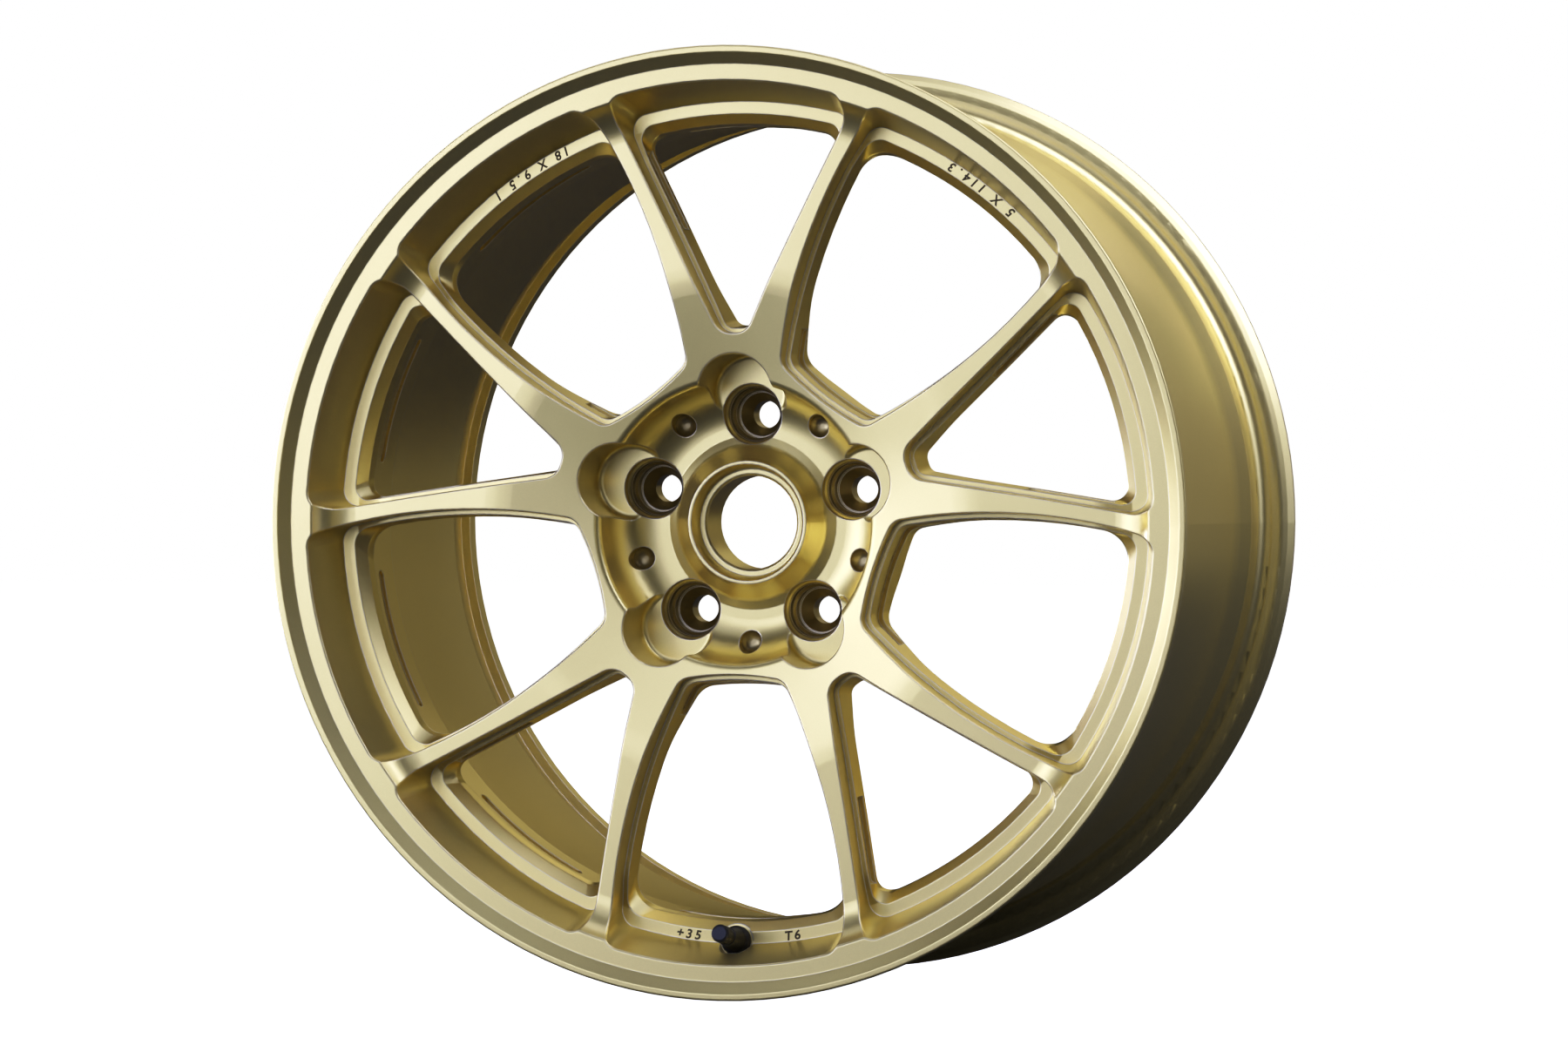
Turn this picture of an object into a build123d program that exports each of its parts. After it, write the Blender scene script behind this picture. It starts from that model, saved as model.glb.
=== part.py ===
"""Forged one-piece racing wheel, 18 x 9.5 J, 5 x 114.3, with its snap-in tyre valve.

Finished frame: the spin axis is Y, +Y points inboard (towards the car), +Z is
up and the outboard face looks along -Y.  The origin is the centre of the hub
mounting face.

Drawing frame: everything is modelled lying down, spin axis along Z with the
outboard face up, and turned upright by stand_up() when it is written.
Depths (names ending in _D) are measured inboard from the outboard lip, so
z = HUB_FACE_D - depth while drawing.
"""
import math
import os
from build123d import *

os.makedirs("parts", exist_ok=True)

# ---------------------------------------------------------------- rim sizes
FLANGE_R = 248.5            # outside radius of both rim flanges
OVERALL_W = 262.5           # outboard lip to inboard lip
FLANGE_T = 10.6             # lip to tyre side of each flange
BEAD_SEAT_R = 231.0         # 18 inch rim, 462 mm bead seat diameter
WELL_R = 215.0              # tyre side of the drop centre
WELL_IN_R = 209.0           # inner side of the drop centre
HUB_FACE_D = 96.25          # outboard lip to hub mounting face, offset +35

# --------------------------------------------------------------- ring sizes
RING_D = 4.5                # depth of the flat outer ring
RING_OUT_R = 239.5
RING_IN_R = 227.5           # inner edge of the ring where a spoke meets it
WINDOW_R = 230.3            # inner edge of the ring in the windows
LEDGE_D = 35.0              # flat ledge at the outer end of every window
LEDGE_IN_R = 214.5
LEDGE_OUT_R = 221.5

# ---------------------------------------------------------------- hub sizes
HUB_BORE_R = 36.5           # 73 mm bore that centres the wheel on its hub
HUB_BORE_TOP_D = 84.0
CAP_BORE_R = 24.7
CAP_LIP_R = 32.4
CAP_LIP_D = 49.5
DISH_FLOOR_D = 60.0
DISH_R = 73.8
PAD_R = 73.5                # outside radius of the mounting face
LUG_PCD = 114.3
LUG_COUNT = 5
LUG_HOLE_R = 7.25
SOCKET_R = 16.1             # wheel nut socket
SOCKET_D = 58.0
SOCKET_STEP_R = 14.2
NUT_WALL_R = 12.6
SEAT_R = 11.6               # top of the conical seat
SEAT_TOP_D = 76.0
SEAT_END_D = 85.0
LUG_POCKET_R = 20.0         # open pocket above each socket
LUG_POCKET_RING_R = 68.5
DIMPLE_RING_R = 63.0
DIMPLE_R = 6.1

# -------------------------------------------------------------- spoke sizes
FACE_D = 17.0               # depth of the flat spoke face
FACE_BEND_R = 128.0         # inside this the face falls away to the hub
PAD_FACE_D = 25.6           # depth of the face at the edge of the dish
SPOKE_BACK_D = 44.0
STEP_D = 31.5               # depth of the step along the spoke sides
STEP_IN = 2.6               # width of that step
DRAFT = 0.10                # extra width per mm of depth below the step
EDGE = 0.6                  # small break on the machined front edges

# -------------------------------------------------------------- valve sizes
VALVE_HOLE_R = 5.75
VALVE_TILT = 11.0           # degrees the stem leans towards the spin axis
VALVE_R = 219.4             # radius at which the stem leaves the ledge
VALVE_WALL = 4.0            # rim thickness clamped by the rubber body
VALVE_BOSS_R = 9.4


def z_of(depth):
    return HUB_FACE_D - depth


def stand_up(shape):
    """Turn a finished piece from the drawing frame to the upright frame."""
    return Rot(90, 0, 0) * shape


def section(points):
    """Closed face in the XZ plane from (radius, depth) points."""
    line = Polyline(*[(r, 0, z_of(d)) for r, d in points], close=True)
    return make_face(line).face()


def soften(face, corners):
    """Round corners of a section; corners are (radius, depth, fillet)."""
    for r, d, size in corners:
        spot = Vector(r, 0, z_of(d))
        corner = min(face.vertices(), key=lambda v: (Vector(v.X, v.Y, v.Z) - spot).length)
        face = face.fillet_2d(size, [corner])
    return face


def spin(face):
    return revolve(face, Axis.Z, 360)


def around(shape, first_angle):
    """Five copies of a shape drawn along +Y, the first turned to first_angle."""
    return [Rot(0, 0, first_angle - 90 + 72 * k) * shape for k in range(LUG_COUNT)]


# ------------------------------------------------------------ rim and disc
def wheel_section():
    """Half section of rim and centre before any window is cut."""
    rear = OVERALL_W
    tyre_side = [
        (FLANGE_R, 0), (FLANGE_R, 3.2), (245.5, 6.8), (241.5, FLANGE_T - 0.6),
        (237.5, FLANGE_T), (BEAD_SEAT_R, FLANGE_T), (BEAD_SEAT_R - 1.6, 31.0),
        (BEAD_SEAT_R - 0.6, 33.5), (BEAD_SEAT_R - 0.6, 36.0),
        (WELL_R, 47.0), (WELL_R, 74.0), (219.0, 88.0), (225.8, 214.0),
        (BEAD_SEAT_R - 0.6, 232.0), (BEAD_SEAT_R - 0.6, 234.5), (BEAD_SEAT_R - 1.3, 237.0),
        (BEAD_SEAT_R, rear - FLANGE_T), (237.5, rear - FLANGE_T),
        (241.5, rear - FLANGE_T + 0.6), (245.5, rear - 6.8), (FLANGE_R, rear - 3.2),
        (FLANGE_R, rear),
    ]
    inner = [
        (225.0, rear), (225.0, 252.5), (229.5, 250.0), (226.3, 236.0), (221.0, 214.0),
        (211.6, 80.0), (210.4, 77.5), (WELL_IN_R, 76.5), (WELL_IN_R, SPOKE_BACK_D),
    ]
    centre = [
        (125.0, SPOKE_BACK_D), (96.0, 53.0), (86.0, 60.0), (PAD_R, 92.0),
        (PAD_R, HUB_FACE_D), (HUB_BORE_R, HUB_FACE_D), (HUB_BORE_R, HUB_BORE_TOP_D),
        (CAP_BORE_R, HUB_BORE_TOP_D), (CAP_BORE_R, 58.9), (25.9, 58.0), (28.4, 58.0),
        (28.9, 54.0), (29.7, 51.6), (30.9, CAP_LIP_D), (CAP_LIP_R, CAP_LIP_D),
        (34.0, 51.5), (40.8, 58.0), (46.0, DISH_FLOOR_D), (DISH_R, DISH_FLOOR_D),
        (DISH_R, PAD_FACE_D), (FACE_BEND_R, FACE_D), (220.5, FACE_D),
    ]
    front = [
        (RING_IN_R, RING_D), (RING_OUT_R - 0.6, RING_D), (RING_OUT_R + 0.1, RING_D - 0.5),
        (245.0, 0),
    ]
    face = section(tyre_side + inner + centre + front)
    return soften(face, [
        (220.5, FACE_D, 22.5), (DISH_R, DISH_FLOOR_D, 22.5), (40.8, 58.0, 6.0),
        (DISH_R, PAD_FACE_D, 4.0), (FACE_BEND_R, FACE_D, 90.0),
        (125.0, SPOKE_BACK_D, 60.0), (96.0, 53.0, 8.0), (86.0, 60.0, 5.0),
        (PAD_R, 92.0, 4.0), (WELL_IN_R, SPOKE_BACK_D, 5.0),
        (BEAD_SEAT_R, FLANGE_T, 6.5), (BEAD_SEAT_R, rear - FLANGE_T, 6.5),
        (241.5, FLANGE_T - 0.6, 8.0), (241.5, rear - FLANGE_T + 0.6, 8.0),
        (WELL_R, 47.0, 8.0), (WELL_R, 74.0, 20.0), (219.0, 88.0, 20.0),
        (225.8, 214.0, 60.0), (FLANGE_R, 0, 0.9), (245.0, 0, 0.6),
        (FLANGE_R, rear, 1.5), (225.0, rear, 1.0), (34.0, 51.5, 2.5),
    ])


# ----------------------------------------------------------------- windows
def wide_outline(inset, corner):
    """Window between two spoke pairs, drawn about +Y."""
    foot = (28.1, 82.3)
    edges = [
        ThreePointArc((-28.1, 82.3), (0, 79.6), foot),
        ThreePointArc(foot, (53.0, 144.4), (63.8, 236.0)),
        Line((63.8, 236.0), (-63.8, 236.0)),
        ThreePointArc((-63.8, 236.0), (-53.0, 144.4), (-28.1, 82.3)),
    ]
    return rounded_outline(edges, inset, corner, 100.0)


def narrow_outline(inset, corner):
    """V-shaped window between the two spokes of a pair, drawn about +Y."""
    foot = (7.4, 99.3)
    edges = [
        Line((-7.4, 99.3), foot),
        ThreePointArc(foot, (28.97, 144.0), (78.0, 240.0)),
        Line((78.0, 240.0), (-78.0, 240.0)),
        ThreePointArc((-78.0, 240.0), (-28.97, 144.0), (-7.4, 99.3)),
    ]
    return rounded_outline(edges, inset, corner, 115.0)


def rounded_outline(edges, inset, corner, below_y):
    """Close the edges, move them inwards, round the corners near the hub."""
    shape = make_face(Wire(edges)).face()
    if inset:
        shape = offset(shape, amount=-inset, kind=Kind.INTERSECTION).face()
    low = [v for v in shape.vertices() if v.Y < below_y]
    return shape.fillet_2d(corner, low)


def prism(face, top_d, bottom_d):
    return extrude(Pos(0, 0, z_of(top_d)) * face, amount=top_d - bottom_d, dir=(0, 0, 1))


def corner_edges(solid, low_r, high_r, top_d, bottom_d):
    """Upright edges of a cutter whose middle lies in the given radius and depth."""
    found = []
    for edge in solid.edges():
        mid = edge @ 0.5
        if not low_r < math.hypot(mid.X, mid.Y) < high_r:
            continue
        if not top_d < HUB_FACE_D - mid.Z < bottom_d:
            continue
        rise = abs((edge @ 0).Z - (edge @ 1).Z)
        if rise > 0.6 * edge.length:
            found.append(edge)
    return found


def upper_cutter(outline, corner):
    """Cuts the window from the front down to the ledge and the side step."""
    reach = section([
        (50, -6), (WINDOW_R + 3.2, -6), (WINDOW_R, RING_D), (LEDGE_OUT_R + 0.3, 32.0),
        (LEDGE_OUT_R - 0.6, LEDGE_D), (212.0, LEDGE_D), (196.0, STEP_D), (50, STEP_D),
    ])
    reach = soften(reach, [(LEDGE_OUT_R + 0.3, 32.0, 4.0), (196.0, STEP_D, 30.0)])
    solid = prism(outline, -6, 40) & spin(reach)
    solid = solid.solid()
    return fillet(corner_edges(solid, 210, 245, -6, LEDGE_D), corner)


def lower_cutter(outline_of, hub_corner, ledge_corner, back_corner):
    """Cuts the smaller window through the back, wider spokes with depth.

    Its corners at the rim are tight at the ledge and rounder at the back.
    """
    middle_corner = (ledge_corner + back_corner) / 2
    levels = [
        (26.0, LEDGE_IN_R, ledge_corner), (LEDGE_D, LEDGE_IN_R, ledge_corner),
        (LEDGE_D + 5.5, WELL_IN_R + 0.4, middle_corner),
        (SPOKE_BACK_D + 8, WELL_IN_R - 1.2, back_corner), (66.0, 190.0, back_corner),
    ]
    faces = []
    for depth, outer_r, rim_corner in levels:
        face = outline_of(STEP_IN + DRAFT * (depth - STEP_D), hub_corner)
        face = (face & Circle(outer_r)).face()
        high = [v for v in face.vertices() if v.Y > 150]
        face = face.fillet_2d(rim_corner, high)
        faces.append(Pos(0, 0, z_of(depth)) * face)
    layers = [loft([a, b], ruled=True) for a, b in zip(faces, faces[1:])]
    return layers[0].fuse(*layers[1:])


def side_pocket(outline, inner_r, outer_r, top_d, bottom_d, corner):
    """Shallow pocket milled into the spoke sides between two radii."""
    band = Circle(outer_r) - Circle(inner_r)
    face = (outline & band).face()
    solid = prism(face, top_d, bottom_d)
    ends = [e for e in solid.edges() if abs((e @ 0).Z - (e @ 1).Z) > 1]
    return fillet(ends, corner)


def wall_slot(half_angle, outer_r, top_d, bottom_d):
    """Round-ended slot in the inner wall of the barrel, centred on +Y."""
    bar = section([(204, top_d), (outer_r, top_d), (outer_r, bottom_d), (204, bottom_d)])
    turned = revolve(Rot(0, 0, 90 - half_angle) * bar, Axis.Z, 2 * half_angle)
    ends = [e for e in turned.edges() if e.length > 3 and abs((e @ 0).Z - (e @ 1).Z) < 0.01]
    ends = [e for e in ends if e.geom_type == GeomType.LINE]
    return fillet(ends, (bottom_d - top_d) / 2 - 0.1)


def lug_cutter():
    """Open pocket, nut socket, conical seat and stud hole, drawn about +Y."""
    ring_r = LUG_PCD / 2
    pocket = Pos(0, LUG_POCKET_RING_R, z_of(SOCKET_D)) * Cylinder(
        LUG_POCKET_R, 60, align=(Align.CENTER, Align.CENTER, Align.MIN)
    )
    pocket = fillet(pocket.edges().sort_by(Axis.Z)[:1], 3.0)
    points = [
        (0, 40), (SOCKET_R, 40), (SOCKET_R, 63.5), (SOCKET_STEP_R, 65.0), (SOCKET_STEP_R, 69.5),
        (NUT_WALL_R, 71.0), (NUT_WALL_R, SEAT_TOP_D), (SEAT_R, SEAT_TOP_D), (LUG_HOLE_R, SEAT_END_D),
        (LUG_HOLE_R, HUB_FACE_D - 0.8), (LUG_HOLE_R + 1.8, HUB_FACE_D + 1.0), (0, HUB_FACE_D + 1.0),
    ]
    socket = Pos(0, ring_r, 0) * spin(section(points))
    return pocket, socket


def dimple():
    """Round-ended blind pocket between two lugs, drawn about +Y."""
    top, floor = 20.0, 63.4
    profile = section([(0, top), (DIMPLE_R, top), (DIMPLE_R, floor), (0, floor)])
    profile = soften(profile, [(DIMPLE_R, floor, DIMPLE_R - 1.2)])
    return Pos(0, DIMPLE_RING_R, 0) * spin(profile)


# ------------------------------------------------------------------- valve
# Heights on the valve axis start at the ledge and grow towards the cap.
RUBBER_END = 19.5           # top of the rubber body
STEM_END = 30.4             # top of the brass stem
THREAD_R = 3.85             # outside of the cap thread
THREAD_ROOT_R = 3.45
THREAD_PITCH = 0.794        # 32 turns to the inch
CHAMBER_R = 2.1             # bore that holds the valve core
CORE_SEAT = 13.5            # underside of the core barrel, where the seal closes
CAP_R = 4.75
CAP_FOOT = 21.4
CAP_TOP = 31.9
SPRING_WIRE_R = 0.13
SPRING_R = 0.85
SPRING_TURNS = 6


def valve_place():
    """Valve axis: origin on the ledge, +Z along the stem towards the cap.

    The valve sits in the window straight below the hub, at -Y while drawing.
    """
    return Pos(0, -VALVE_R, z_of(LEDGE_D)) * Rot(-VALVE_TILT, 0, 0)


def turned(points):
    """Turned piece on the valve axis from (radius, height) points."""
    line = Polyline(*[(r, 0, z) for r, z in points], close=True)
    return revolve(make_face(line).face(), Axis.Z, 360)


def ring(outer_r, inner_r, low, high):
    return turned([(inner_r, low), (outer_r, low), (outer_r, high), (inner_r, high)])


def valve_rubber_body():
    """Snap-in rubber: bulb on the tyre side, groove for the rim, tapering stem."""
    wall = VALVE_WALL
    return turned([
        (2.75, -8.5), (4.6, -8.5), (7.0, -7.4), (7.9, -5.6), (7.9, -wall - 0.6), (7.4, -wall),
        (5.7, -wall), (5.7, 0), (7.5, 0), (7.8, 0.5), (7.8, 2.6), (7.3, 3.6), (6.5, 4.4),
        (6.0, 6.0), (5.2, 14.0), (5.0, RUBBER_END - 0.6), (4.5, RUBBER_END), (2.75, RUBBER_END),
    ])


def valve_stem():
    """Brass tube bonded into the rubber, with the cap thread on its free end."""
    outside = [(1.45, -9.3), (2.9, -9.3), (2.9, -8.5), (2.75, -8.5), (2.75, RUBBER_END)]
    outside += [(4.3, RUBBER_END), (4.3, RUBBER_END + 1.0), (THREAD_ROOT_R, RUBBER_END + 1.4)]
    z = CAP_FOOT
    while z + THREAD_PITCH < STEM_END - 0.4:
        outside += [(THREAD_ROOT_R, z), (THREAD_R, z + 0.3)]
        outside += [(THREAD_R, z + 0.42), (THREAD_ROOT_R, z + 0.72)]
        z += THREAD_PITCH
    outside += [(THREAD_ROOT_R, STEM_END - 0.3), (THREAD_ROOT_R - 0.3, STEM_END)]
    inside = [(2.65, STEM_END), (2.65, 22.6), (CHAMBER_R, 22.0), (CHAMBER_R, 9.3), (1.45, 8.0)]
    return turned(outside + inside)


def valve_core_plug():
    """Threaded top of the core, with two ears for the core tool."""
    body = turned([
        (0.75, 22.7), (1.5, 22.7), (1.5, 23.2), (2.6, 23.6), (2.6, 27.2), (1.9, 27.6),
        (1.9, 29.0), (0.75, 29.0),
    ])
    slot = Box(1.9, 6.0, 1.4, align=(Align.CENTER, Align.CENTER, Align.MIN))
    return body - Pos(0, 0, 27.7) * slot


def valve_core_barrel():
    return turned([
        (1.15, CORE_SEAT + 0.8), (0.65, CORE_SEAT + 0.8), (0.65, CORE_SEAT), (1.5, CORE_SEAT),
        (1.75, 15.0), (1.75, 22.7), (1.15, 22.7),
    ])


def valve_core_gasket():
    return turned([(1.75, 18.0), (1.9, 18.0), (2.06, 20.4), (2.06, 21.4), (1.75, 21.4)])


def valve_core_pin():
    """Pin that opens the core: head at the top, cup seat at the foot."""
    return turned([
        (0, 11.0), (0.8, 11.0), (0.8, 11.6), (0.42, 11.6), (0.42, 20.6), (0.6, 20.6),
        (0.6, 21.2), (0.42, 21.2), (0.42, 29.4), (0.62, 29.6), (0.62, 30.0), (0, 30.0),
    ])


def valve_core_cup():
    return turned([
        (0.42, 11.6), (1.5, 11.6), (1.7, 12.0), (1.7, 13.1), (1.45, 13.1), (1.45, 12.5), (0.42, 12.5),
    ])


def valve_core_seal():
    return ring(1.42, 0.45, 12.5, CORE_SEAT)


def valve_core_spring():
    """Compression spring between the barrel floor and the collar on the pin."""
    low, high = CORE_SEAT + 0.95, 20.4
    coil = Helix(pitch=(high - low) / SPRING_TURNS, height=high - low, radius=SPRING_R)
    start = Plane(origin=coil @ 0, z_dir=coil % 0)
    return Pos(0, 0, low) * sweep(start * Circle(SPRING_WIRE_R), path=coil)


def valve_cap():
    """Knurled dust cap, threaded over the end of the stem."""
    shell = turned([
        (THREAD_R + 0.12, CAP_FOOT), (CAP_R, CAP_FOOT), (CAP_R, CAP_TOP - 1.2),
        (CAP_R - 0.5, CAP_TOP - 0.3), (CAP_R - 1.2, CAP_TOP), (0, CAP_TOP),
        (0, CAP_TOP - 0.9), (THREAD_R + 0.12, CAP_TOP - 0.9),
    ])
    groove = Pos(CAP_R + 0.25, 0, CAP_FOOT + 1.2) * Cylinder(
        0.45, CAP_TOP - CAP_FOOT - 3.2, align=(Align.CENTER, Align.CENTER, Align.MIN)
    )
    return shell.cut(*[Rot(0, 0, 15 * k) * groove for k in range(24)])


def valve_cap_seal():
    return ring(3.4, 0.9, STEM_END + 0.05, CAP_TOP - 0.9)


def largest(shape):
    """The main body of a cut, without any offcut the cut left loose."""
    return max(shape.solids(), key=lambda solid: solid.volume)


def front_edges(wheel):
    """Edges where the front surface meets the window sides."""
    chosen = []
    for edge in wheel.edges():
        mid = edge @ 0.5
        r = math.hypot(mid.X, mid.Y)
        depth = HUB_FACE_D - mid.Z
        if r < 77 or r > WINDOW_R + 0.5:
            continue
        if r < FACE_BEND_R + 8:
            face_d = FACE_D + max(0.0, FACE_BEND_R - r) * (PAD_FACE_D - FACE_D) / (FACE_BEND_R - DISH_R)
            near = abs(depth - face_d) < 1.0
        else:
            near = RING_D - 0.1 < depth < FACE_D + 0.05
        flat = abs((edge @ 0).Z - (edge @ 1).Z) < 0.9 * edge.length
        if near and flat and edge.length > 0.4:
            chosen.append(edge)
    return chosen


def break_edges(wheel):
    """Small machined break along the front edges of spokes and windows."""
    return wheel.chamfer(EDGE, None, front_edges(wheel))


def forged_wheel():
    slots = around(wall_slot(9.5, 211.2, 53.0, 60.5), 90)
    slots += around(wall_slot(10.5, 211.2, 53.0, 60.5), 54)
    wheel = spin(wheel_section()).solid().cut(*slots)
    narrow_low = lower_cutter(narrow_outline, 5.5, 7.0, 9.0)
    wide_low = lower_cutter(wide_outline, 9.0, 9.0, 21.0)
    narrow = upper_cutter(narrow_outline(0, 10.0), 9.0).fuse(narrow_low)
    wide = upper_cutter(wide_outline(0, 9.0), 9.0).fuse(wide_low)
    wheel = largest(wheel.cut(*around(narrow, 90)))
    wheel = largest(wheel.cut(*around(wide, 54)))
    boss = valve_place() * Pos(0, 0, -12) * Cylinder(
        VALVE_BOSS_R, 12, align=(Align.CENTER, Align.CENTER, Align.MIN)
    )
    boss_zone = section([(205, LEDGE_D - 0.1), (226, LEDGE_D - 0.1), (226, 43), (205, 43)])
    wheel = largest(wheel.fuse((boss & spin(boss_zone)).solid()))
    pocket, socket = lug_cutter()
    wheel = largest(wheel.cut(*around(pocket, 90)))
    wheel = largest(wheel.cut(*around(socket, 90), *around(dimple(), 54)))
    flank = side_pocket(narrow_outline(1.0, 5.0), 157, 202, 33.5, 41.5, 3.0)
    wheel = largest(wheel.cut(*around(flank, 90)))
    groove = side_pocket(wide_outline(1.9, 9.0), 60, 107, 40.0, 49.0, 2.5)
    wheel = largest(wheel.cut(*around(groove, 54)))
    place = valve_place()
    hole = Cylinder(VALVE_HOLE_R, 30)
    front_face = Cylinder(8.9, 12, align=(Align.CENTER, Align.CENTER, Align.MIN))
    tyre_face = Cylinder(8.4, 12, align=(Align.CENTER, Align.CENTER, Align.MAX))
    return largest(wheel.cut(
        place * hole, place * front_face, place * Pos(0, 0, -VALVE_WALL) * tyre_face
    ))


VALVE_PIECES = {
    "valve_rubber_body": valve_rubber_body,
    "valve_stem": valve_stem,
    "valve_core_plug": valve_core_plug,
    "valve_core_barrel": valve_core_barrel,
    "valve_core_gasket": valve_core_gasket,
    "valve_core_pin": valve_core_pin,
    "valve_core_cup": valve_core_cup,
    "valve_core_seal": valve_core_seal,
    "valve_core_spring": valve_core_spring,
    "valve_cap": valve_cap,
    "valve_cap_seal": valve_cap_seal,
}

for name, build in VALVE_PIECES.items():
    export_step(stand_up(valve_place() * build()), f"parts/{name}.step")
export_step(stand_up(break_edges(forged_wheel())), "parts/forged_wheel.step")
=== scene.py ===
"""Forged racing wheel in champagne gold paint, on a pale studio floor.

The shapes come from the CAD frame.  This script adds the paint, the rubber and
brass of the valve, the size marking on the window ledges, the studio and the camera.
"""
import math

import bmesh
import bpy
from mathutils import Euler, Matrix, Vector


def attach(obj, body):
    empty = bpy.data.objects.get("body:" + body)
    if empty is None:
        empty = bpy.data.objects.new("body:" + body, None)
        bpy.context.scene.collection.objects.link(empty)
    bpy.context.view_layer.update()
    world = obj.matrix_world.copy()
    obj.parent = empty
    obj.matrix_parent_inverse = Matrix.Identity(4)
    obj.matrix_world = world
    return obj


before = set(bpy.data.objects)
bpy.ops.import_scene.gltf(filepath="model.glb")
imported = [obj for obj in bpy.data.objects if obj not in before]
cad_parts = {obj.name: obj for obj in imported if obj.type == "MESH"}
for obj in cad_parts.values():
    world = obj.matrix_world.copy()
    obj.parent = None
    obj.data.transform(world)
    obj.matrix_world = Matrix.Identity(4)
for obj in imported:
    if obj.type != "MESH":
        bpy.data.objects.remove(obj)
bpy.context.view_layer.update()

# ------------------------------------------------------------------- sizes
MM = 0.001
OUTBOARD_Y = -0.09625       # plane of the outboard lip
FLANGE_R = 0.2485
LEDGE_Y = OUTBOARD_Y + 0.035
LEDGE_MID_R = 0.2178
FLOOR_Z = -FLANGE_R
EDGE_ROUND = 0.0010         # how far the paint rounds a crisp edge, and how wide the painted edge highlight is

LUGS = 5
LUG_PITCH_R = 0.05715
SOCKET_R = 0.0150
FIRST_LUG = 90              # degrees, the lug at the top
DIMPLE_PITCH_R = 0.0630
DIMPLE_R = 0.0059
FIRST_DIMPLE = -90
HUB_FACE_CLEAR = -0.001     # painted shade in the holes is laid only in front of the hub's mounting face

LETTER_H = 0.0067
CAPITAL_H = 0.7 * LETTER_H
LETTER_SLANT = 0.15
LETTER_BOLD = 0.00036       # how far each stroke is widened
LETTER_STEP = 1.3           # degrees from one letter to the next
LETTER_RAISE = 0.00006      # how far the letters stand out of the ledge

CAMERA_AT = (1.0412, -3.4761, 0.0318)
CAMERA_TURN = (89.493, -0.266, 16.58)    # degrees
LENS = 156.37
SENSOR_W = 36

# ------------------------------------------------------------------- lights
FILL = 0.004
FLOOR_GLOW = 1.0
FLOOR_R = 12
COOL = (0.93, 1.01, 1.68)
WARM = (1.00, 0.92, 0.70)
WIDE = (1.5, 1.5)
LIGHT_DISTANCE = 3.0
# name, (azimuth, height) in degrees, (width, height) in metres, watts, colour if not cool
SOFTBOXES = [
    ("left_rear", (-115, 0), WIDE, 70),
    ("left", (-90, 0), WIDE, 23),
    ("left_front", (-60, 0), WIDE, 15),
    ("front_left", (-40, 0), WIDE, 17),
    ("front_left_near", (-20, 5), WIDE, 8),
    ("left_high", (-90, 62), WIDE, 9),
    ("left_rear_high", (-110, 32), WIDE, 13),
    ("left_low", (-60, -32), WIDE, 3),
    ("front_high", (0, 30), WIDE, 5),
    ("front", (0, 0), WIDE, 3),
    ("front_right_low", (30, -12), WIDE, 6, WARM),
    ("right_high", (90, 38), (2.2, 1.5), 30),
    ("right_top", (90, 66), (2.2, 1.5), 24),
    ("overhead", (0, 88), WIDE, 7),
    ("right", (90, 12), WIDE, 5),
    ("rear_high", (180, 32), WIDE, 5, WARM),
    ("rear_right", (157, 2), (2.5, 2.5), 4, WARM),
]

# scene brightness, shown brightness
CONTRAST = [(0.07, 0.05), (0.30, 0.33), (0.60, 0.70)]

# ------------------------------------------------------------------ colours
GOLD = (0.89, 0.745, 0.285)
# painted highlight: the paler paint laid along crisp edges
EDGE_HIGHLIGHT_GOLD = (0.98, 0.92, 0.74)
# painted shade: the darker paint inside the lug sockets and dimples
HOLE_SHADE_GOLD = (0.50, 0.41, 0.18)
RUBBER = (0.020, 0.018, 0.013)
BRASS = (0.78, 0.56, 0.22)
STEEL = (0.60, 0.60, 0.61)
SEAL = (0.10, 0.025, 0.02)
PLASTIC = (0.022, 0.020, 0.015)
MARKING = (0.11, 0.085, 0.035)


# ---------------------------------------------------------------- materials
def new_material(name):
    """A material with its node tree, its shader and its object coordinates."""
    made = bpy.data.materials.new(name)
    made.use_nodes = True
    tree = made.node_tree
    shader = tree.nodes["Principled BSDF"]
    place = tree.nodes.new("ShaderNodeTexCoord").outputs["Object"]
    return made, tree, shader, place


def noise(tree, place, scale, detail=2.0):
    node = tree.nodes.new("ShaderNodeTexNoise")
    node.inputs["Scale"].default_value = scale
    node.inputs["Detail"].default_value = detail
    tree.links.new(place, node.inputs["Vector"])
    return node.outputs["Fac"]


def spread(tree, value, low, high):
    """The value, moved from 0..1 to low..high."""
    node = tree.nodes.new("ShaderNodeMapRange")
    node.inputs["To Min"].default_value = low
    node.inputs["To Max"].default_value = high
    tree.links.new(value, node.inputs["Value"])
    return node.outputs["Result"]


def tint(tree, value, dark, light):
    """A colour between dark and light."""
    node = tree.nodes.new("ShaderNodeMix")
    node.data_type = "RGBA"
    node.inputs["A"].default_value = (*dark, 1)
    node.inputs["B"].default_value = (*light, 1)
    tree.links.new(value, node.inputs["Factor"])
    return node.outputs["Result"]


def cover(tree, base, colour, mask):
    """The base colour, with another colour laid over it where the mask is 1."""
    node = tree.nodes.new("ShaderNodeMix")
    node.data_type = "RGBA"
    node.inputs["B"].default_value = (*colour, 1)
    tree.links.new(base, node.inputs["A"])
    tree.links.new(mask, node.inputs["Factor"])
    return node.outputs["Result"]


def bump(tree, shader, heights, base=None):
    """Adds bumps to the shader: heights is a list of (value, strength, distance in metres)."""
    last = base
    for value, strength, distance in heights:
        node = tree.nodes.new("ShaderNodeBump")
        node.inputs["Strength"].default_value = strength
        node.inputs["Distance"].default_value = distance
        tree.links.new(value, node.inputs["Height"])
        if last:
            tree.links.new(last, node.inputs["Normal"])
        last = node.outputs["Normal"]
    tree.links.new(last, shader.inputs["Normal"])


def shade(colour, amount):
    return tuple(c * amount for c in colour)


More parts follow.
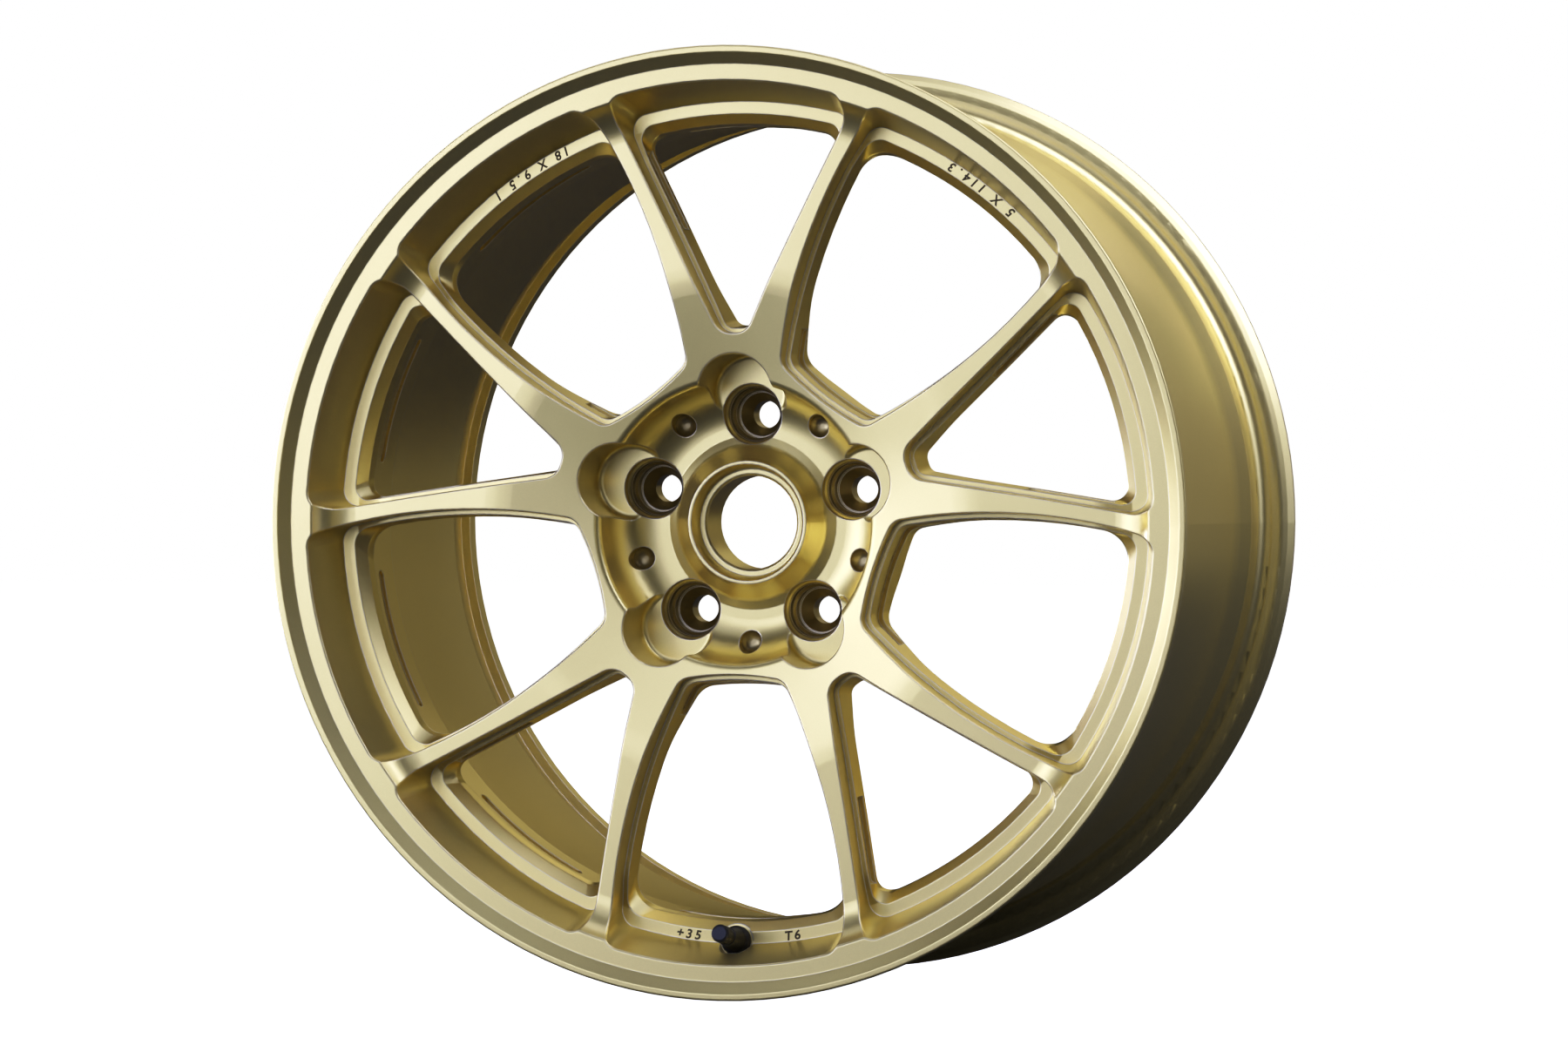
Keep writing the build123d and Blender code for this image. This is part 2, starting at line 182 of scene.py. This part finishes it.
def edge_mask(tree, radius, starts_at=0.99, full_at=0.92):
    """The mask is 1 on crisp edges and 0 on open surface; also gives the rounded normal.

    It measures how far the rounded edge's normal leans from the true one.
    """
    rounded = tree.nodes.new("ShaderNodeBevel")
    rounded.samples = 12
    rounded.inputs["Radius"].default_value = radius
    straight = tree.nodes.new("ShaderNodeNewGeometry")
    agree = tree.nodes.new("ShaderNodeVectorMath")
    agree.operation = "DOT_PRODUCT"
    tree.links.new(rounded.outputs["Normal"], agree.inputs[0])
    tree.links.new(straight.outputs["Normal"], agree.inputs[1])
    mask = tree.nodes.new("ShaderNodeMapRange")
    mask.inputs["From Min"].default_value = starts_at
    mask.inputs["From Max"].default_value = full_at
    tree.links.new(agree.outputs["Value"], mask.inputs["Value"])
    return mask.outputs["Result"], rounded.outputs["Normal"]


def maths(tree, operation, *values):
    """One arithmetic node; each value is a number or an output of another node."""
    node = tree.nodes.new("ShaderNodeMath")
    node.operation = operation
    for socket, value in zip(node.inputs, values):
        if isinstance(value, (int, float)):
            socket.default_value = value
        else:
            tree.links.new(value, socket)
    return node.outputs[0]


def length(tree, a, b):
    """The length of the flat vector (a, b)."""
    squares = maths(tree, "ADD", maths(tree, "POWER", a, 2), maths(tree, "POWER", b, 2))
    return maths(tree, "SQRT", squares)


def hole_mask(tree, place, pitch_r, first_angle, hole_r):
    """1 inside the equal round holes on a pitch circle about the wheel's axis, 0 elsewhere."""
    axes = tree.nodes.new("ShaderNodeSeparateXYZ")
    tree.links.new(place, axes.inputs[0])
    across, up = axes.outputs["X"], axes.outputs["Z"]
    turn = maths(tree, "ARCTAN2", up, across)
    half_step = math.pi / LUGS
    positive = 4 * math.pi + half_step - math.radians(first_angle)
    shifted = maths(tree, "ADD", turn, positive)
    local = maths(tree, "SUBTRACT", maths(tree, "MODULO", shifted, 2 * half_step), half_step)
    r = length(tree, across, up)
    along = maths(tree, "MULTIPLY", r, maths(tree, "COSINE", local))
    radial = maths(tree, "SUBTRACT", along, pitch_r)
    sideways = maths(tree, "MULTIPLY", r, maths(tree, "SINE", local))
    inside = maths(tree, "LESS_THAN", length(tree, radial, sideways), hole_r)
    in_front = maths(tree, "LESS_THAN", axes.outputs["Y"], HUB_FACE_CLEAR)
    return maths(tree, "MULTIPLY", inside, in_front)


def gold_paint():
    """Satin metallic paint with a soft clear coat, a painted highlight on crisp edges and painted
    shade inside the lug sockets and dimples.
    """
    made, tree, shader, place = new_material("gold_paint")
    flake = noise(tree, place, 2600, 1.0)
    peel = noise(tree, place, 420, 2.0)
    cloud = noise(tree, place, 22, 3.0)
    highlight_edge, rounded = edge_mask(tree, EDGE_ROUND)
    body = tint(tree, flake, shade(GOLD, 0.94), shade(GOLD, 1.05))
    sockets = hole_mask(tree, place, LUG_PITCH_R, FIRST_LUG, SOCKET_R)
    dimples = hole_mask(tree, place, DIMPLE_PITCH_R, FIRST_DIMPLE, DIMPLE_R)
    shaded_holes = maths(tree, "MAXIMUM", sockets, dimples)
    # painted shade: the lug sockets and dimples are painted darker
    hole_shaded = cover(tree, body, HOLE_SHADE_GOLD, shaded_holes)
    # painted highlight: crisp edges are painted paler
    colour = cover(tree, hole_shaded, EDGE_HIGHLIGHT_GOLD, highlight_edge)
    tree.links.new(colour, shader.inputs["Base Color"])
    # painted highlight: crisp edges are also made less metallic so they read paler
    tree.links.new(spread(tree, highlight_edge, 0.90, 0.25), shader.inputs["Metallic"])
    tree.links.new(spread(tree, cloud, 0.35, 0.40), shader.inputs["Roughness"])
    shader.inputs["Coat Weight"].default_value = 0.15
    shader.inputs["Coat Roughness"].default_value = 0.25
    bump(tree, shader, [(peel, 0.08, 0.05 * MM), (flake, 0.03, 0.02 * MM)], rounded)
    return made


def black_rubber():
    made, tree, shader, place = new_material("valve_rubber")
    grain = noise(tree, place, 1800, 3.0)
    cloud = noise(tree, place, 160, 2.0)
    colour = tint(tree, cloud, shade(RUBBER, 0.8), shade(RUBBER, 1.5))
    tree.links.new(colour, shader.inputs["Base Color"])
    tree.links.new(spread(tree, cloud, 0.42, 0.58), shader.inputs["Roughness"])
    bump(tree, shader, [(grain, 0.25, 0.05 * MM)])
    return made


def metal(name, colour, rough):
    """Turned metal with fine tool marks across the valve's axis."""
    made, tree, shader, place = new_material(name)
    stretch = tree.nodes.new("ShaderNodeMapping")
    stretch.inputs["Rotation"].default_value = (math.radians(-11), 0, 0)
    stretch.inputs["Scale"].default_value = (0.05, 1, 0.05)
    tree.links.new(place, stretch.inputs["Vector"])
    marks = noise(tree, stretch.outputs["Vector"], 6000, 2.0)
    colour_out = tint(tree, marks, shade(colour, 0.85), shade(colour, 1.08))
    tree.links.new(colour_out, shader.inputs["Base Color"])
    tree.links.new(spread(tree, marks, rough - 0.06, rough + 0.08), shader.inputs["Roughness"])
    shader.inputs["Metallic"].default_value = 1.0
    bump(tree, shader, [(marks, 0.15, 0.02 * MM)])
    return made


def seal_rubber():
    made, tree, shader, place = new_material("valve_seal")
    grain = noise(tree, place, 2500, 2.0)
    colour = tint(tree, grain, shade(SEAL, 0.8), shade(SEAL, 1.3))
    tree.links.new(colour, shader.inputs["Base Color"])
    tree.links.new(spread(tree, grain, 0.45, 0.6), shader.inputs["Roughness"])
    bump(tree, shader, [(grain, 0.15, 0.02 * MM)])
    return made


def cap_plastic():
    made, tree, shader, place = new_material("cap_plastic")
    grain = noise(tree, place, 3200, 2.0)
    cloud = noise(tree, place, 260, 2.0)
    colour = tint(tree, cloud, shade(PLASTIC, 0.85), shade(PLASTIC, 1.3))
    tree.links.new(colour, shader.inputs["Base Color"])
    tree.links.new(spread(tree, grain, 0.32, 0.45), shader.inputs["Roughness"])
    bump(tree, shader, [(grain, 0.12, 0.03 * MM)])
    return made


def marking_ink():
    """Dark, slightly uneven paint of the letters."""
    made, tree, shader, place = new_material("marking")
    cloud = noise(tree, place, 900, 2.0)
    colour = tint(tree, cloud, shade(MARKING, 0.7), shade(MARKING, 1.3))
    tree.links.new(colour, shader.inputs["Base Color"])
    tree.links.new(spread(tree, cloud, 0.4, 0.6), shader.inputs["Roughness"])
    shader.inputs["Metallic"].default_value = 0.5
    bump(tree, shader, [(cloud, 0.2, 0.03 * MM)])
    return made


def paint_nodes():
    """Gives every CAD node its material."""
    brass = metal("valve_brass", BRASS, 0.26)
    steel = metal("valve_steel", STEEL, 0.30)
    seal = seal_rubber()
    finish = {
        "forged_wheel": gold_paint(),
        "valve_rubber_body": black_rubber(),
        "valve_stem": brass,
        "valve_core_plug": brass,
        "valve_core_barrel": brass,
        "valve_core_cup": brass,
        "valve_core_pin": steel,
        "valve_core_spring": steel,
        "valve_core_gasket": seal,
        "valve_core_seal": seal,
        "valve_cap_seal": seal,
        "valve_cap": cap_plastic(),
    }
    for name, made in finish.items():
        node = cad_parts[name]
        for place in node.material_slots:
            place.material = made


# ------------------------------------------------------------------ marking
def letter_on_ledge(letter, angle):
    """One upright letter on the window ledge at an angle in degrees, its top towards the hub."""
    text = bpy.data.curves.new("letter", "FONT")
    text.body = letter
    text.size = LETTER_H
    text.shear = LETTER_SLANT
    text.bevel_depth = LETTER_BOLD
    text.align_x = "CENTER"
    text.align_y = "TOP_BASELINE"
    maker = bpy.data.objects.new("letter", text)
    bpy.context.collection.objects.link(maker)
    settled = maker.evaluated_get(bpy.context.evaluated_depsgraph_get())
    mesh = bpy.data.meshes.new_from_object(settled)
    bpy.data.objects.remove(maker)
    turn = math.radians(angle)
    sunk = LEDGE_Y + LETTER_BOLD - LETTER_RAISE
    spot = Vector((math.cos(turn) * LEDGE_MID_R, sunk, math.sin(turn) * LEDGE_MID_R))
    facing = Matrix.Rotation(math.radians(90), 4, "X")
    upright = Matrix.Rotation(-(turn + math.radians(90)), 4, "Y")
    centred = Matrix.Translation((0, -CAPITAL_H / 2, 0))
    mesh.transform(Matrix.Translation(spot) @ upright @ facing @ centred)
    return mesh


def marking(name, words, middle):
    """Words bent along the ledge, read with the hub above them."""
    whole = bmesh.new()
    first = middle - LETTER_STEP * (len(words) - 1) / 2
    for k, letter in enumerate(words):
        if letter != " ":
            whole.from_mesh(letter_on_ledge(letter, first + LETTER_STEP * k))
    mesh = bpy.data.meshes.new(name)
    whole.to_mesh(mesh)
    whole.free()
    made = bpy.data.objects.new(name, mesh)
    bpy.context.collection.objects.link(made)
    mesh.materials.append(marking_paint)
    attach(made, "wheel")


# ------------------------------------------------------------------- studio
def light_for_camera(tree, seen, felt):
    """A shader that the camera sees as one thing while light and reflections meet another."""
    path = tree.nodes.new("ShaderNodeLightPath")
    mix = tree.nodes.new("ShaderNodeMixShader")
    tree.links.new(path.outputs["Is Camera Ray"], mix.inputs[0])
    tree.links.new(felt, mix.inputs[1])
    tree.links.new(seen, mix.inputs[2])
    return mix.outputs[0]


def background(tree, colour, strength):
    node = tree.nodes.new("ShaderNodeBackground")
    node.inputs["Color"].default_value = (*colour, 1)
    node.inputs["Strength"].default_value = strength
    return node.outputs[0]


def studio_world():
    """White behind the object, dim fill light on it."""
    world = bpy.data.worlds.new("studio")
    world.use_nodes = True
    tree = world.node_tree
    out = tree.nodes["World Output"]
    seen = background(tree, (1, 1, 1), 1.0)
    felt = background(tree, (1, 1, 1), FILL)
    tree.links.new(light_for_camera(tree, seen, felt), out.inputs["Surface"])
    bpy.context.scene.world = world


def studio_floor():
    """Pale round floor: white to the eye, dark in reflections."""
    bpy.ops.mesh.primitive_circle_add(
        vertices=96, radius=FLOOR_R, fill_type="NGON", location=(0, 0, FLOOR_Z)
    )
    floor = bpy.context.object
    floor.name = "studio_floor"
    made = bpy.data.materials.new("studio_floor")
    made.use_nodes = True
    tree = made.node_tree
    out = tree.nodes["Material Output"]
    matt = tree.nodes["Principled BSDF"]
    matt.inputs["Base Color"].default_value = (0.5, 0.5, 0.5, 1)
    matt.inputs["Roughness"].default_value = 1.0
    matt.inputs["Emission Color"].default_value = (1, 1, 1, 1)
    matt.inputs["Emission Strength"].default_value = FLOOR_GLOW
    dark = tree.nodes.new("ShaderNodeBsdfDiffuse")
    dark.inputs["Color"].default_value = (0.05, 0.05, 0.05, 1)
    tree.links.new(light_for_camera(tree, matt.outputs[0], dark.outputs[0]), out.inputs["Surface"])
    floor.data.materials.append(made)


def softbox(name, toward, size, power, colour=COOL):
    """Area light that looks at the wheel from a direction (azimuth, height) in degrees."""
    azimuth, height = (math.radians(a) for a in toward)
    flat = math.cos(height)
    away = Vector((math.sin(azimuth) * flat, -math.cos(azimuth) * flat, math.sin(height)))
    light = bpy.data.lights.new(name, "AREA")
    light.shape = "RECTANGLE"
    light.size, light.size_y = size
    light.energy = power
    light.color = colour
    made = bpy.data.objects.new(name, light)
    made.location = away * LIGHT_DISTANCE
    made.rotation_mode = "QUATERNION"
    made.rotation_quaternion = away.to_track_quat("Z", "Y")
    bpy.context.collection.objects.link(made)


def camera():
    made = bpy.data.objects.new("camera", bpy.data.cameras.new("camera"))
    made.data.lens = LENS
    made.data.sensor_width = SENSOR_W
    made.data.clip_end = 50
    made.location = CAMERA_AT
    made.rotation_euler = Euler([math.radians(a) for a in CAMERA_TURN])
    bpy.context.collection.objects.link(made)
    bpy.context.scene.camera = made


def grade():
    """Plain view with a gentle contrast curve: deeper shadows, paler highlights."""
    view = bpy.context.scene.view_settings
    view.view_transform = "Standard"
    view.use_curve_mapping = True
    curve = view.curve_mapping.curves[3]
    for level, shown in CONTRAST:
        curve.points.new(level, shown)
    view.curve_mapping.update()


paint_nodes()
marking_paint = marking_ink()
marking("size_marking_left", "18 X 9.5 J", 122)
marking("size_marking_right", "5 X 114.3", 53)
marking("offset_marking", "+35", 263)
marking("alloy_marking", "T6", 278)
studio_world()
studio_floor()
for light in SOFTBOXES:
    softbox(*light)
camera()
grade()
